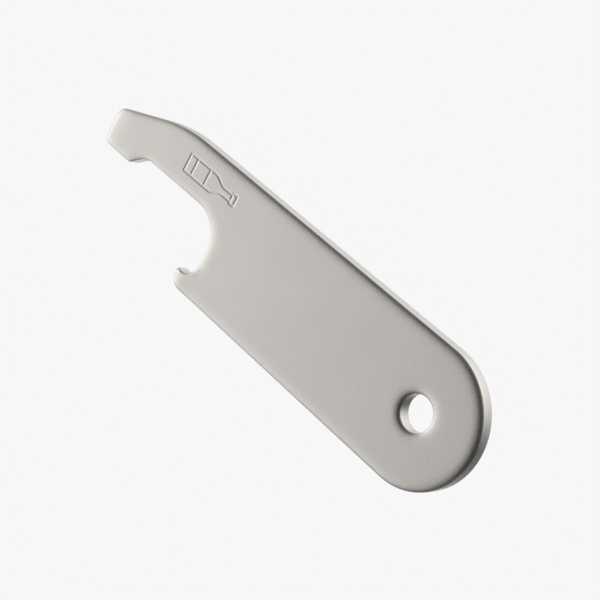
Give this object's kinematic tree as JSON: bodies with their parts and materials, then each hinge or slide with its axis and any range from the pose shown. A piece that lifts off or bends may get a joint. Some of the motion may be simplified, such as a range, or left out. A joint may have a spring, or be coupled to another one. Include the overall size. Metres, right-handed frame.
{
  "type": "keychain bottle opener",
  "caption": "Flat satin steel bottle opener with a hooked cap notch on a tapered arm and a post hole in the round end.",
  "frame": {"origin": "middle of the plate's footprint (the middle of its bounding box), on the flat back face", "axes": "+X along the plate towards the round end with the post hole, +Y towards the straight spine, +Z out of the marked front face"},
  "size_m": [0.0758, 0.019, 0.0022],
  "materials": {
    "satin_steel": "bead-blasted and tumbled satin"
  },
  "bodies": {
    "root": {"opener_plate": "satin_steel"}
  },
  "joints": []
}
